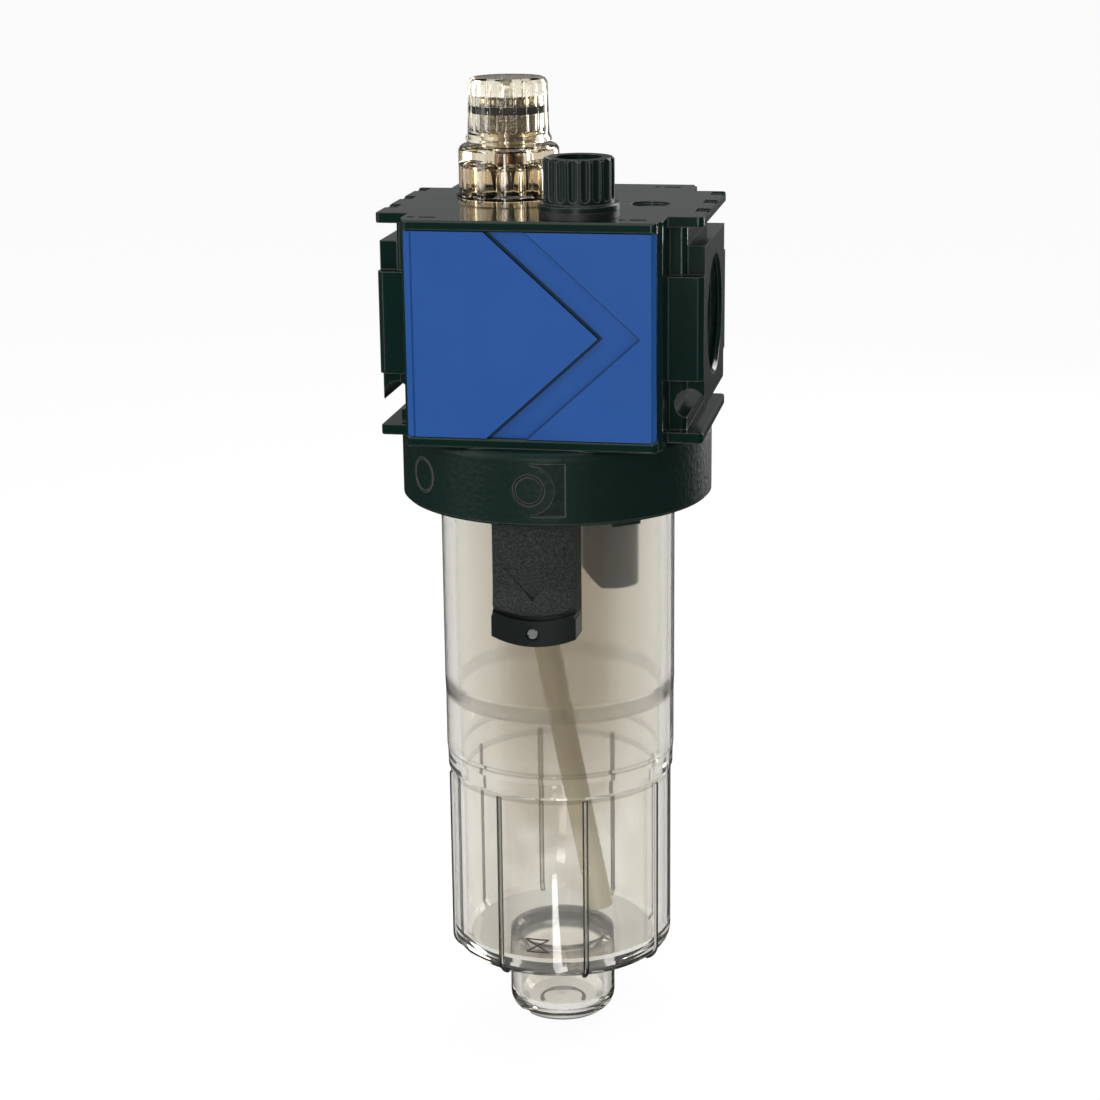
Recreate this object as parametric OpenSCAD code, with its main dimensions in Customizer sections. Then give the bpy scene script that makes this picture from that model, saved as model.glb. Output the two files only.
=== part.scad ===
// Air line lubricator: a cast head between two pipe ports, a clear oil bowl
// under it, and on top a sight dome with its drip adjuster and a filler plug.
// The model is drawn round the bowl's axis and then moved, so that the origin
// lies on the port axis where the inlet thread starts. Air flows along +X.

/* [Ports] */
// Distance between the faces of the two ports
port_span = 59; // [57:0.5:66]
// Major diameter of the pipe thread
thread_d = 20.955; // [20:0.005:21.6]
// Depth of the thread below the port face
thread_depth = 15; // [12:0.5:17]
// Chamfer round the mouth of each port
mouth_chamfer = 0.6; // [0.3:0.1:1]
// Diameter of the air passage between the two threads
passage_d = 15; // [13.5:0.5:16]

/* [Head] */
// Height of the top face above the port axis
head_rise = 20; // [19:0.5:24]
// Drop of the lower flange's underside below the port axis
head_drop = 20.5; // [19:0.5:24]
// Thickness of the top and bottom flanges
flange_t = 1.9; // [1.5:0.1:2.6]
// Width of the front and back lips
lip_w = 45; // [44:0.5:48]
// Depth of the head from front lip to back lip
lip_depth = 53; // [51:0.5:56]
// Depth of the side wings
wing_depth = 34.6; // [32:0.5:38]
// Radius on the corners of the flanges
flange_corner = 1; // [0.5:0.1:1.6]
// Bevel along the long edges of the flanges
flange_bevel = 0.3; // [0.1:0.05:0.45]
// Width of the block behind the covers
block_w = 46.4; // [45:0.2:48]
// Width of the flanks that carry the ports
flank_w = 52.6; // [50:0.2:54]
// Depth of the flanks
flank_depth = 30; // [27:0.5:32]
// Height of each port boss
boss_h = 29; // [26:0.5:31]
// Depth of each port boss
boss_depth = 28.4; // [26:0.2:30]
// Height of the pad across the middle of each boss
pad_h = 18.6; // [14:0.2:22]
// Depth of that pad
pad_depth = 34; // [31:0.5:34.5]
// Radius of the round notch under each boss
notch_r = 2.6; // [2:0.1:3]

/* [Covers] */
// Thickness of the snap-on covers
cover_t = 2; // [1.6:0.1:2.4]
// Depth of the arrow band in each cover
arrow_depth = 0.8; // [0.3:0.1:1.2]
// Width of the arrow band along the flow
arrow_w = 7.2; // [5:0.2:9]
// Width of the snap hooks
hook_w = 2.2; // [1.6:0.1:3]

/* [Collar] */
// Outer diameter of the bowl collar
collar_d = 57.8; // [57:0.2:61]
// Height of the collar below the lower flange
collar_h = 13.4; // [12:0.2:16]
// Radius of the round cast marks on the collar
mark_r = 3; // [2:0.1:4]
// Radius that rounds the collar's shoulder
shoulder_r = 1.6; // [1:0.1:2.4]
// Depth of the sunk field beside the front mark
field_depth = 0.5; // [0.3:0.1:0.8]

/* [Bowl] */
// Outer diameter of the bowl's upper part
bowl_d = 44; // [43:0.2:45]
// Outer diameter of the bowl's ribbed lower part
bowl_low_d = 42.7; // [41.5:0.1:43.5]
// Wall of the bowl
bowl_wall = 2.5; // [2:0.1:3]
// Thickness of the bowl's floor
bowl_floor = 2.6; // [2:0.1:3.2]
// Length of the bowl from its rim to the floor's outside
bowl_len = 99.4; // [95:0.5:110]
// Diameter of the foot
foot_d = 20.6; // [18:0.2:22]
// Height of the foot below the bowl's floor
foot_h = 14.8; // [12:0.2:18]
// Number of ribs round the lower part
rib_count = 8; // [6:1:12]
// Radius of each rib
rib_r = 0.55; // [0.4:0.05:0.7]
// Angle that the bowl turns to come off
turn_deg = 40; // [34:1:42]
// Angle covered by each bayonet lug
lug_deg = 29; // [24:1:30]

/* [Lock slide] */
// Width of the slide's front
slide_w = 15.3; // [13:0.1:16]
// Distance of the slide's front from the bowl's axis
slide_front = 27; // [26.6:0.1:27.1]
// Length of the slide's grip below the collar
grip_h = 17.1; // [14:0.1:20]
// Height of the band under the grip
band_h = 4.8; // [4:0.1:6]
// Height of the groove between grip and band
slide_groove = 1; // [0.8:0.1:1.6]
// Setback of the grip behind the slide's front
grip_set = 1.2; // [0.6:0.1:1.5]
// Setback of each side of the grip behind the band
grip_side = 0.35; // [0.2:0.05:0.5]
// Radius of the curved edges across the slide
slide_arc = 22.5; // [18:0.5:40]
// Travel of the slide
slide_travel = 4; // [3.6:0.1:4.4]
// Wire of the lock spring
lock_wire = 0.3; // [0.25:0.05:0.4]
// Outer radius of the lock spring
lock_spring_r = 0.9; // [0.8:0.05:1]

/* [Sight dome] */
// Place of the dome to the left of the bowl's axis
dome_left = 9.7; // [9:0.1:10.4]
// Place of the dome behind the port axis
dome_back = 6.4; // [5.6:0.1:7.2]
// Diameter of the dome
dome_d = 18.7; // [18:0.1:19.4]
// Height of the dome above the head
dome_h = 9.8; // [9:0.1:12]
// Radius of the dome's cavity
dome_bore = 5; // [4.6:0.1:5.2]
// Diameter of the adjusting knob at its middle
knob_d = 14.9; // [14.4:0.1:16]
// Height of the adjusting knob
knob_h = 11.5; // [10.5:0.1:14]
// Number of flutes round the knob
knob_flutes = 20; // [12:1:24]
// Diameter of the metering needle's thread
needle_d = 4.2; // [4:0.1:4.4]
// Diameter of the needle's plain stem in its seal
needle_stem_d = 3; // [2.8:0.1:3.2]
// Travel of the needle
needle_travel = 1; // [0.6:0.1:1]

/* [Filler plug] */
// Place of the plug to the right of the bowl's axis
plug_right = 7.7; // [7:0.1:9]
// Place of the plug in front of the port axis
plug_front = 18.5; // [17.8:0.1:18.8]
// Diameter of the plug over its ribs
plug_d = 12.6; // [11.6:0.1:13.4]
// Height of the plug above its flange
plug_h = 7.8; // [6.5:0.1:10]
// Diameter of the plug's flange
plug_flange_d = 14.5; // [14:0.1:15]
// Diameter of the plug's thread
plug_thread_d = 8.6; // [8:0.1:9]
// Number of ribs round the plug
plug_ribs = 18; // [12:1:24]

/* [Siphon and flow] */
// Outer diameter of the siphon tube
tube_d = 4.9; // [4.4:0.1:5.4]
// Lean of the siphon tube
tube_lean = 10.8; // [9:0.1:11.2]
// Room between the tube's end and the bowl's floor
tube_room = 4.8; // [3:0.1:12]
// Throat diameter of the flow insert
throat_d = 9.2; // [8.4:0.2:9.6]

/* [Hidden] */
$fn = 72;
eps = 0.01;

// Clearances
seat_gap = 0.03;
run_gap = 0.05;
slide_gap = 0.25;
turn_gap = 0.3;
seal_gap = 0.04;

// Head levels, measured from the port axis
head_top = head_rise;
under_top = head_top - flange_t;
head_bottom = -head_drop;
over_bottom = head_bottom + flange_t;
face_x = port_span / 2;
thread_r = thread_d / 2;
mouth_r = thread_r + mouth_chamfer;
passage_r = passage_d / 2;
passage_half = face_x - thread_depth;
cover_set = 0.1;
block_depth = lip_depth - 2 * cover_t - 2 * cover_set;
cover_w = lip_w - 0.4;
cover_low = over_bottom + seat_gap;
cover_high = under_top - seat_gap;
hook_x = 18.7;
hook_back = 2.6;
hook_t = 1.5;
hook_nub = 1;
slot_room = 0.3;
nub_room = [0.5, 0.3];
notch_at = [-8.4, 3, 14.4];
notch_size = [2.6, 4.6];
top_mark = [17.8, -1.5];
top_mark_r = 3.75;
mark_depth = 0.45;

// Collar and bowl levels
collar_r = collar_d / 2;
collar_low = head_bottom - collar_h;
bowl_r = bowl_d / 2;
bowl_bore = bowl_r - bowl_wall;
socket_top = head_bottom - 4.4;
rim_z = socket_top - 1;
socket_r = bowl_r + 2.2;
spigot_r = bowl_bore - 0.45;
spigot_wall = 3.4;
spigot_low = collar_low + 0.7;
seal_cord = 1.9;
seal_z = rim_z - 2.6;
lug_out = bowl_r + 1.7;
lug_low = rim_z - 5.2;
lug_h = 2.6;
ledge_top = lug_low - turn_gap;
ledge_at = [77, 197, 317];
pocket_r = slide_front + 0.65;
pocket_edge = 20.5;
mark_z = head_bottom - collar_h / 2;
field_turn = [0.7, 13];
field_high = 9.6;
field_pad_r = mark_r + 1.6;
side_mark_at = -47;

// Bowl section below the collar
band_z = rim_z - 44.5;
band_drop = 3;
step_z = rim_z - 58;
step_drop = 4.7;
low_r = bowl_low_d / 2;
floor_z = rim_z - bowl_len;
floor_in = floor_z + bowl_floor;
low_bore = low_r - bowl_wall;
corner_r = 3;
foot_r = foot_d / 2;
foot_low = floor_z - foot_h;
foot_round = 3.6;
well_r = foot_r - 2;

// Lock slide levels
tongue_top = collar_low + 3.3;
grip_low = collar_low - grip_h;
grip_high = collar_low - 0.5;
channel_top = tongue_top - 1.3;
band_top = grip_low - slide_groove;
slide_low = band_top - band_h;
rail_top = channel_top - slide_travel - slide_gap;
rail_low = slide_low + 1.1;
rail_front = slide_front - 2.7;
rail_neck = 4.4;
rail_head = 5.8;
rail_head_t = 1.2;
slide_back = bowl_r + 0.35;
slide_base = 8.05;
lip_h = 4.5;
spring_y = rail_front;
spring_room = 0.1;
spring_low = band_top + 1.6;
spring_high = rail_top - 2.2;
screw_z = (band_top + slide_low) / 2;
screw_r = 0.9;
arrow_half = 5.4;
arrow_top = grip_low + 8.4;
arrow_tip = grip_low + 2.6;

// Dome and knob levels
dome_r = dome_d / 2;
dome_top = head_top + dome_h;
dome_skirt = 6.2;
skirt_r = dome_r - 1.4;
neck_r = 5.2;
knob_r = knob_d / 2;
knob_low = dome_top + 0.6;
knob_top = knob_low + knob_h;
knob_bore = neck_r + 0.8;
neck_top = knob_top - 3.5;
knob_seal_r = 0.62;
knob_seal_drop = 2.3;
needle_r = needle_d / 2;
needle_stem_r = needle_stem_d / 2;
needle_seal_cord = 0.6;
needle_seal_z = neck_top - 0.95;
needle_thread_top = needle_seal_z - needle_seal_cord - needle_travel - 0.15;
needle_hex_r = needle_stem_r + 0.2;
gland_r = needle_stem_r + 2 * needle_seal_cord + 0.1;
dome_roof = 3.3;
dome_turn = 16;
shoulder = 1.3;
bead_z = dome_top + 2.2;
lobe_r = 1.9;
lobe_at = dome_bore - 0.3;
nozzle_high = dome_top - 1.9;
nozzle_shank_r = 2.7;
chamber_h = 1.5;
stem_r = 1.4;
thread_relief = 0.4;
oil_way_r = dome_bore + 1.7;
needle_tip = nozzle_high - 0.85;
nozzle_low = head_top + 1.2;

// Plug levels
plug_r = plug_d / 2;
plug_seal_t = 1.2;
plug_flange_t = 1.3;
plug_base = head_top + plug_seal_t + 2 * seat_gap;
plug_top = plug_base + plug_flange_t + plug_h;
plug_flange_r = plug_flange_d / 2;
plug_thread_r = plug_thread_d / 2;
plug_shank = 7;
fill_r = 3;
fill_turn_z = -14;

// Siphon and flow insert
roof_z = socket_top;
fitting_x = -9.3;
fitting_r = 3.1;
fitting_hex = 3.9;
tube_r = tube_d / 2;
tube_bore = tube_r - 0.8;
ball_seat_z = roof_z - 4.2;
tube_start = 3.4;
tube_len = (ball_seat_z - floor_in - tube_room) / cos(tube_lean) - tube_start;
chute_x = 9.8;
chute_r = 5.4;
chute_low = roof_z - 26.5;
chute_wall = 1.1;
chute_hold = 2.4;
insert_low = -11;
insert_high = 5;
flap_t = 0.6;
flap_r = throat_d / 2 + 0.5;
pin_r = 0.5;
pin_x = insert_high + flap_t + 1.3;
pin_z = passage_r - 1.45;
ear_r = 0.95;
ear_t = 1;
ear_gap = 4.4;
flap_wire = 0.35;
coil_r = pin_r + flap_wire / 2 + 0.1;

// Moves a piece from the bowl's axis to its place along the flow
module place() {
    translate([face_x - mouth_chamfer, 0, 0]) children();
}

// Flat outline with round corners, centred
module rounded(w, d, r) {
    square([w - 2 * r, d], center = true);
    square([w, d - 2 * r], center = true);
    for (sx = [-1, 1], sy = [-1, 1])
        translate([sx * (w / 2 - r), sy * (d / 2 - r)]) circle(r = r);
}

// Block with a rounded plan, between two levels
module slab(w, d, r, low, high) {
    translate([0, 0, low]) linear_extrude(high - low) rounded(w, d, r);
}

// Points of a ring round a wire's path
function wire_ring(p, t, r, sides) =
    let(s = cross(t, [0, 0, 1]) / norm(cross(t, [0, 0, 1])), u = cross(s, t))
    [for (i = [0 : sides - 1]) p + r * (cos(i * 360 / sides) * s + sin(i * 360 / sides) * u)];

// Round wire along a path of points
module wire(path, r, sides = 8) {
    m = len(path);
    points = [for (i = [0 : m - 1])
        let(v = path[min(m - 1, i + 1)] - path[max(0, i - 1)])
        each wire_ring(path[i], v / norm(v), r, sides)];
    walls = [for (i = [0 : m - 2], j = [0 : sides - 1])
        let(a = i * sides + j, b = i * sides + (j + 1) % sides)
        each [[a, b, b + sides], [a, b + sides, a + sides]]];
    ends = [[for (j = [sides - 1 : -1 : 0]) j], [for (j = [0 : sides - 1]) (m - 1) * sides + j]];
    polyhedron(points, concat(walls, ends));
}

// Box between two corners
module box(low, high) {
    translate(low) cube(high - low);
}

// Ring of round section
module torus(r, cord) {
    rotate_extrude() translate([r, 0]) circle(r = cord);
}

// Sector of a ring; angles run from the front towards +X
module sector(r_in, r_out, low, high, from, to) {
    translate([0, 0, low]) rotate([0, 0, from - 90])
        rotate_extrude(angle = to - from) translate([r_in, 0]) square([r_out - r_in, high - low]);
}

// Cylinder along X between two places
module along_x(r, from, to) {
    translate([from, 0, 0]) rotate([0, 90, 0]) cylinder(r = r, h = to - from);
}

// Cylinder between two points
module drill(a, b, r) {
    v = b - a;
    translate(a) rotate([0, acos(v[2] / norm(v)), atan2(v[1], v[0])]) cylinder(r = r, h = norm(v));
}

// Cross-shaped flange: lips at front and back, wings at both sides
module flange(low, high) {
    slab(lip_w, lip_depth, flange_corner, low, high);
    slab(port_span, wing_depth, flange_corner, low, high);
}

// One port boss with the pad across its middle
module port_boss() {
    box([flank_w / 2 - eps, -boss_depth / 2, -boss_h / 2], [face_x, boss_depth / 2, boss_h / 2]);
    difference() {
        box([block_w / 2, -pad_depth / 2, -pad_h / 2], [face_x, pad_depth / 2, pad_h / 2]);
        for (s = [-1, 1]) translate([face_x, s * pad_depth / 2, 0]) rotate([0, 0, 45])
            cube([1.4, 1.4, pad_h + 1], center = true);
    }
}

// Port thread hole with its chamfered mouth
module port_hole() {
    along_x(thread_r, passage_half, face_x + 1);
    translate([face_x - mouth_chamfer, 0, 0]) rotate([0, 90, 0])
        cylinder(r1 = thread_r, r2 = mouth_r, h = mouth_chamfer);
}

// Slots that take the hooks of the covers, and the windows that their nubs snap into
module hook_slots() {
    w = hook_w / 2 + slot_room;
    nub_w = hook_w / 2 + nub_room[0];
    nub_d = hook_nub / 2 + nub_room[1];
    arm_h = hook_t + slot_room;
    for (sx = [-1, 1], sy = [-1, 1]) translate([sx * hook_x, sy * block_depth / 2, 0]) {
        box([-w, -hook_back - slot_room, under_top - arm_h], [w, hook_back + slot_room, under_top]);
        box([-w, -hook_back - slot_room, over_bottom], [w, hook_back + slot_room, over_bottom + arm_h]);
        translate([0, -sy * (hook_back - hook_nub / 2), 0]) {
            box([-nub_w, -nub_d, under_top - eps], [nub_w, nub_d, head_top + 1]);
            box([-nub_w, -nub_d, head_bottom - 1], [nub_w, nub_d, over_bottom + eps]);
            translate([-hook_w - 0.7, 0, head_top - mark_depth]) cylinder(r = 0.75, h = 1, $fn = 24);
        }
    }
}

// Shallow marks cast into the top face: notches along the wings and a round one
module top_marks() {
    for (sx = [-1, 1], y = notch_at) translate([sx * (face_x - notch_size[0] / 2 + 0.1), y, head_top])
        cube([notch_size[0], notch_size[1], 2 * mark_depth], center = true);
    translate([top_mark[0], top_mark[1], head_top - mark_depth]) cylinder(r = top_mark_r, h = 1);
    translate([top_mark[0] - top_mark_r - 1.9, top_mark[1], head_top])
        cube([1.9, 0.5, 2 * mark_depth], center = true);
}

// Bevels along the long edges of both flanges
module flange_bevels() {
    side = flange_bevel * sqrt(2);
    for (z = [head_top, under_top, over_bottom, head_bottom], s = [-1, 1]) {
        translate([0, s * lip_depth / 2, z]) rotate([45, 0, 0])
            cube([lip_w + 1, side, side], center = true);
        translate([s * face_x, 0, z]) rotate([0, 45, 0])
            cube([side, wing_depth + 1, side], center = true);
    }
}

// Passages for air, oil and filling inside the head
module passages() {
    along_x(passage_r, -passage_half - eps, passage_half + eps);
    for (turn = [0, 180]) rotate([0, 0, turn]) port_hole();
    dome_passages();
    translate([plug_right, -plug_front, 0]) {
        translate([0, 0, head_top - plug_shank - 1])
            cylinder(r = plug_thread_r + seat_gap, h = plug_shank + 2);
        translate([0, 0, fill_turn_z - 1]) cylinder(r = fill_r, h = head_top - fill_turn_z);
    }
    drill([plug_right, -plug_front, fill_turn_z], [chute_x, -1.5, roof_z + 3], fill_r);
    translate([chute_x, 0, roof_z - 1]) cylinder(r = chute_r + seat_gap, h = 3.5);
}

// Well under the dome, drip hole, and the oil way up from the siphon
module dome_passages() {
    translate([-dome_left, dome_back, head_top]) {
        translate([0, 0, -dome_skirt - 0.4]) cylinder(r = skirt_r + seat_gap, h = dome_skirt + 2);
        translate([0, 0, -0.98]) torus_groove(dome_r - 0.7, 0.62);
    }
    drill([-dome_left + 1, dome_back - 1, head_top - dome_skirt], [-4, 0, passage_r - 1], 0.9);
    drill([fitting_x, 0, roof_z + 4], [-dome_left, dome_back + oil_way_r + 0.6, roof_z + 6], 0.8);
    translate([-dome_left, dome_back + oil_way_r, roof_z + 5.4])
        cylinder(r = 0.6, h = head_top - dome_skirt - roof_z - 5.6);
    translate([fitting_x, 0, roof_z - 1]) cylinder(r = fitting_r + seat_gap, h = 5.6);
}

// Square groove for a ring seal, open at its top
module torus_groove(r, cord) {
    rotate_extrude() translate([r - cord - 0.05, -0.3]) square([2 * cord + 0.1, 2.4]);
}

// Everything that is hollow under the head: the bowl's socket round the spigot
module socket() {
    difference() {
        translate([0, 0, collar_low - 1]) cylinder(r = socket_r, h = socket_top - collar_low + 1);
        difference() {
            translate([0, 0, spigot_low]) cylinder(r = spigot_r, h = socket_top - spigot_low + 1);
            translate([0, 0, spigot_low - 1])
                cylinder(r = spigot_r - spigot_wall, h = socket_top - spigot_low + 1 - eps);
            translate([0, 0, seal_z]) rotate_extrude()
                translate([bowl_bore - seal_gap - seal_cord - seat_gap, -seal_cord / 2 - 0.1])
                    square([2 * seal_cord, seal_cord + 0.2]);
        }
    }
    sector(socket_r - 1, pocket_r, collar_low - 1, tongue_top + 0.5, -pocket_edge, pocket_edge + turn_deg);
}

// Turns a piece drawn round the Z axis to stand on the collar's wall
module on_collar(at) {
    rotate([0, 0, at]) translate([0, -collar_r, mark_z]) rotate([90, 0, 0]) children();
}

// Groove of the front mark, and the sunk field beside it with its round pad left standing
module front_mark() {
    on_collar(0) difference() {
        cylinder(r = mark_r - 0.15, h = 0.9, center = true);
        cylinder(r = mark_r - 0.6, h = 3, center = true);
    }
    difference() {
        sector(collar_r - field_depth, collar_r + 1,
            mark_z - field_high / 2, mark_z + field_high / 2, field_turn[0], field_turn[1]);
        on_collar(0) cylinder(r = field_pad_r, h = 8, center = true);
    }
}

// Low ring cast on the left of the collar
module side_mark() {
    intersection() {
        on_collar(side_mark_at) difference() {
            cylinder(r = mark_r + 0.25, h = 3, center = true);
            cylinder(r = mark_r - 0.15, h = 5, center = true);
        }
        translate([0, 0, collar_low + 1]) cylinder(r = collar_r + 0.15, h = collar_h - 2);
    }
}

module collar() {
    low_bevel = 0.5;
    top = collar_h + 0.2;
    difference() {
        union() {
            translate([0, 0, collar_low]) rotate_extrude() polygon([
                [0, 0], [collar_r - low_bevel, 0], [collar_r, low_bevel],
                for (a = [0 : 18 : 90])
                    [collar_r - shoulder_r * (1 - cos(a)), top - shoulder_r * (1 - sin(a))],
                [0, top]]);
            side_mark();
        }
        socket();
        front_mark();
    }
    for (at = ledge_at)
        sector(bowl_r + 0.5, socket_r + 0.5, collar_low, ledge_top, at - 15, at + 15);
    sector(pocket_r + 0.3, collar_r - 0.7, collar_low - 0.7, collar_low + eps, 30, 42);
}

module body() {
    color([0.07, 0.09, 0.09]) place() difference() {
        union() {
            difference() {
                union() {
                    flange(under_top, head_top);
                    flange(head_bottom, over_bottom);
                    slab(block_w, block_depth, flange_corner, head_bottom + eps, head_top - eps);
                    slab(flank_w, flank_depth, flange_corner, head_bottom + eps, head_top - eps);
                    for (turn = [0, 180]) rotate([0, 0, turn]) port_boss();
                }
                for (s = [-1, 1])
                    translate([s * (flank_w / 2 + 0.5), 0, -boss_h / 2 + 0.7]) rotate([90, 0, 0])
                        cylinder(r = notch_r, h = pad_depth + 2, center = true);
                hook_slots();
                top_marks();
                flange_bevels();
            }
            collar();
        }
        passages();
    }
}

// Snap hook: an arm behind the cover and a nub that enters the flange
module hook(up) {
    arm_low = up ? cover_high - hook_t : cover_low;
    box([-hook_w / 2, -eps, arm_low], [hook_w / 2, hook_back, arm_low + hook_t]);
    nub_low = up ? cover_high - eps : cover_low - hook_nub;
    box([-hook_w / 2, hook_back - hook_nub, nub_low], [hook_w / 2, hook_back, nub_low + hook_nub + eps]);
}

// Arrow band that points along the flow, as a flat outline
module arrow_outline() {
    h = cover_high - cover_low + 2;
    reach = 20 / 18.2 * h / 2;
    translate([-9, 0]) polygon([[0, -h / 2], [reach, 0], [0, h / 2],
        [arrow_w, h / 2], [reach + arrow_w, 0], [arrow_w, -h / 2]]);
}

// Cover seen from outside; flow is -1 where the outside is seen from behind
module cover(flow) {
    mid = (cover_high + cover_low) / 2;
    front = -block_depth / 2 - cover_t;
    difference() {
        box([-cover_w / 2, front, cover_low], [cover_w / 2, -block_depth / 2 - seat_gap, cover_high]);
        translate([0, front + arrow_depth, mid]) scale([flow, 1, 1]) rotate([90, 0, 0])
            linear_extrude(arrow_depth + 1) arrow_outline();
        translate([flow * -20.9, front, mid]) cube([0.35, 0.5, cover_high - cover_low + 1], center = true);
        for (s = [-1, 1]) translate([s * cover_w / 2, front, mid]) rotate([0, 0, 45])
            cube([1.1, 1.1, cover_high - cover_low + 1], center = true);
    }
    for (s = [-1, 1], up = [true, false])
        translate([s * hook_x, -block_depth / 2 - seat_gap, 0]) hook(up);
}

module front_cover() {
    color([0.12, 0.27, 0.62]) place() cover(1);
}

module rear_cover() {
    color([0.12, 0.27, 0.62]) place() rotate([0, 0, 180]) cover(-1);
}

// Puts a piece on the axis of the dome
module on_dome() {
    place() translate([-dome_left, dome_back, 0]) children();
}

// Cavity of the dome: a bore with a lobe behind each lens, but for one at the oil way
module dome_cavity() {
    low = head_top - dome_skirt - 1;
    roof = dome_top - dome_roof;
    translate([0, 0, low]) cylinder(r = dome_bore, h = roof - 1 - low);
    translate([0, 0, roof - 1 - eps]) cylinder(r1 = dome_bore, r2 = dome_bore - 1, h = 1 + eps);
    for (k = [-3 : 3]) rotate([0, 0, dome_turn + k * 45]) translate([0, -lobe_at, 0]) {
        translate([0, 0, low]) cylinder(r = lobe_r, h = roof - 1.6 - low, $fn = 36);
        translate([0, 0, roof - 1.6]) sphere(r = lobe_r, $fn = 36);
    }
}

module sight_dome() {
    color([0.8, 0.74, 0.5, 0.45]) on_dome() difference() {
        rotate_extrude() polygon([
            [0, head_top - dome_skirt], [skirt_r, head_top - dome_skirt], [skirt_r, head_top + seat_gap],
            [dome_r + 0.5, head_top + seat_gap], [dome_r + 0.5, head_top + 0.8], [dome_r, head_top + 1.2],
            for (a = [0 : 15 : 90])
                [dome_r - shoulder + shoulder * cos(a), dome_top - shoulder + shoulder * sin(a)],
            [neck_r, dome_top], [neck_r, bead_z - 0.1], [neck_r + 0.5, bead_z], [neck_r, bead_z + 1.2],
            [neck_r, neck_top - 0.3], [neck_r - 0.3, neck_top], [0, neck_top]]);
        dome_cavity();
        translate([0, 0, nozzle_high - 5]) cylinder(r = nozzle_shank_r + seat_gap, h = 5 + seat_gap);
        translate([0, 0, nozzle_high - 1]) cylinder(r = needle_r + run_gap, h = neck_top);
        translate([0, 0, neck_top - 1.6]) cylinder(r = gland_r, h = 2);
        translate([0, 0, neck_top - knob_seal_drop]) rotate_extrude()
            translate([knob_bore - 2 * knob_seal_r - 2 * seal_gap, -knob_seal_r - 0.05])
                square([2, 2 * knob_seal_r + 0.1]);
        translate([0, oil_way_r, head_top - dome_skirt - 1])
            cylinder(r = 0.6, h = dome_skirt + 1 + nozzle_high + 0.9 - head_top, $fn = 36);
        drill([0, oil_way_r, nozzle_high + 0.8], [0, 0.5, nozzle_high + 0.8], 0.5, $fn = 36);
    }
}

module dome_seal() {
    color([0.05, 0.05, 0.05]) on_dome() translate([0, 0, head_top - 0.61]) torus(dome_r - 0.7, 0.6);
}

// Nozzle that hangs in the dome and lets the drops fall
module drip_nozzle() {
    low_part = nozzle_high - 2.1;
    color([0.35, 0.28, 0.15]) on_dome() difference() {
        union() {
            translate([0, 0, low_part]) cylinder(r = nozzle_shank_r, h = nozzle_high - low_part);
            translate([0, 0, nozzle_low]) cylinder(r1 = 0.75, r2 = 2.1, h = low_part - nozzle_low + eps);
        }
        translate([0, 0, nozzle_low - 1]) cylinder(r = 0.35, h = 12);
        translate([0, 0, nozzle_high - 1.1]) cylinder(r1 = 0.35, r2 = stem_r + 0.15, h = 1.1 + eps);
    }
}

// Vertical grooves round a grip, with round lower ends
module flutes(count, at_r, groove_r, low, high) {
    for (k = [0 : count - 1]) rotate([0, 0, k * 360 / count]) translate([0, -at_r, low]) {
        cylinder(r = groove_r, h = high - low, $fn = 24);
        sphere(r = groove_r, $fn = 24);
    }
}

module adjusting_knob() {
    color([0.82, 0.8, 0.7, 0.45]) on_dome() difference() {
        translate([0, 0, knob_low]) rotate_extrude() polygon([
            [0, 0], [knob_r + 0.5, 0], [knob_r + 0.5, 0.5], [knob_r + 0.1, 1.3],
            [knob_r - 0.15, knob_h - 1], [knob_r - 0.5, knob_h - 0.3], [knob_r - 1.1, knob_h],
            [0, knob_h]]);
        flutes(knob_flutes, knob_r + 0.45, 0.85, knob_low + 2.4, knob_top + 1);
        translate([0, 0, knob_low + 1]) cylinder(r = knob_bore, h = neck_top - knob_low - 0.7);
        translate([0, 0, knob_low - 1]) cylinder(r = neck_r + 0.25, h = 3);
        translate([0, 0, neck_top])
            cylinder(r = needle_hex_r + 0.1, h = knob_top - neck_top - 1, $fn = 6);
    }
}

module knob_seal() {
    color([0.04, 0.04, 0.04]) on_dome() translate([0, 0, neck_top - knob_seal_drop])
        torus(knob_bore - knob_seal_r - seal_gap, knob_seal_r);
}

module metering_needle() {
    cone_h = 1.1;
    thread_low = nozzle_high + chamber_h;
    hex_low = neck_top + 0.1;
    color([0.6, 0.6, 0.56]) on_dome() {
        rotate_extrude() polygon([
            [0, needle_tip], [0.3, needle_tip], [stem_r, needle_tip + cone_h],
            [stem_r, thread_low - thread_relief], [needle_r, thread_low],
            [needle_r, needle_thread_top - 0.3], [needle_stem_r, needle_thread_top],
            [needle_stem_r, hex_low + 0.5], [0, hex_low + 0.5]]);
        translate([0, 0, hex_low])
            cylinder(r = needle_hex_r, h = knob_top - neck_top - 1.3 - needle_travel, $fn = 6);
    }
}

module needle_seal() {
    color([0.05, 0.05, 0.05]) on_dome() translate([0, 0, needle_seal_z])
        torus(needle_stem_r + needle_seal_cord + seal_gap, needle_seal_cord);
}

// Puts a piece on the axis of the filler plug
module on_plug() {
    place() translate([plug_right, -plug_front, 0]) children();
}

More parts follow.
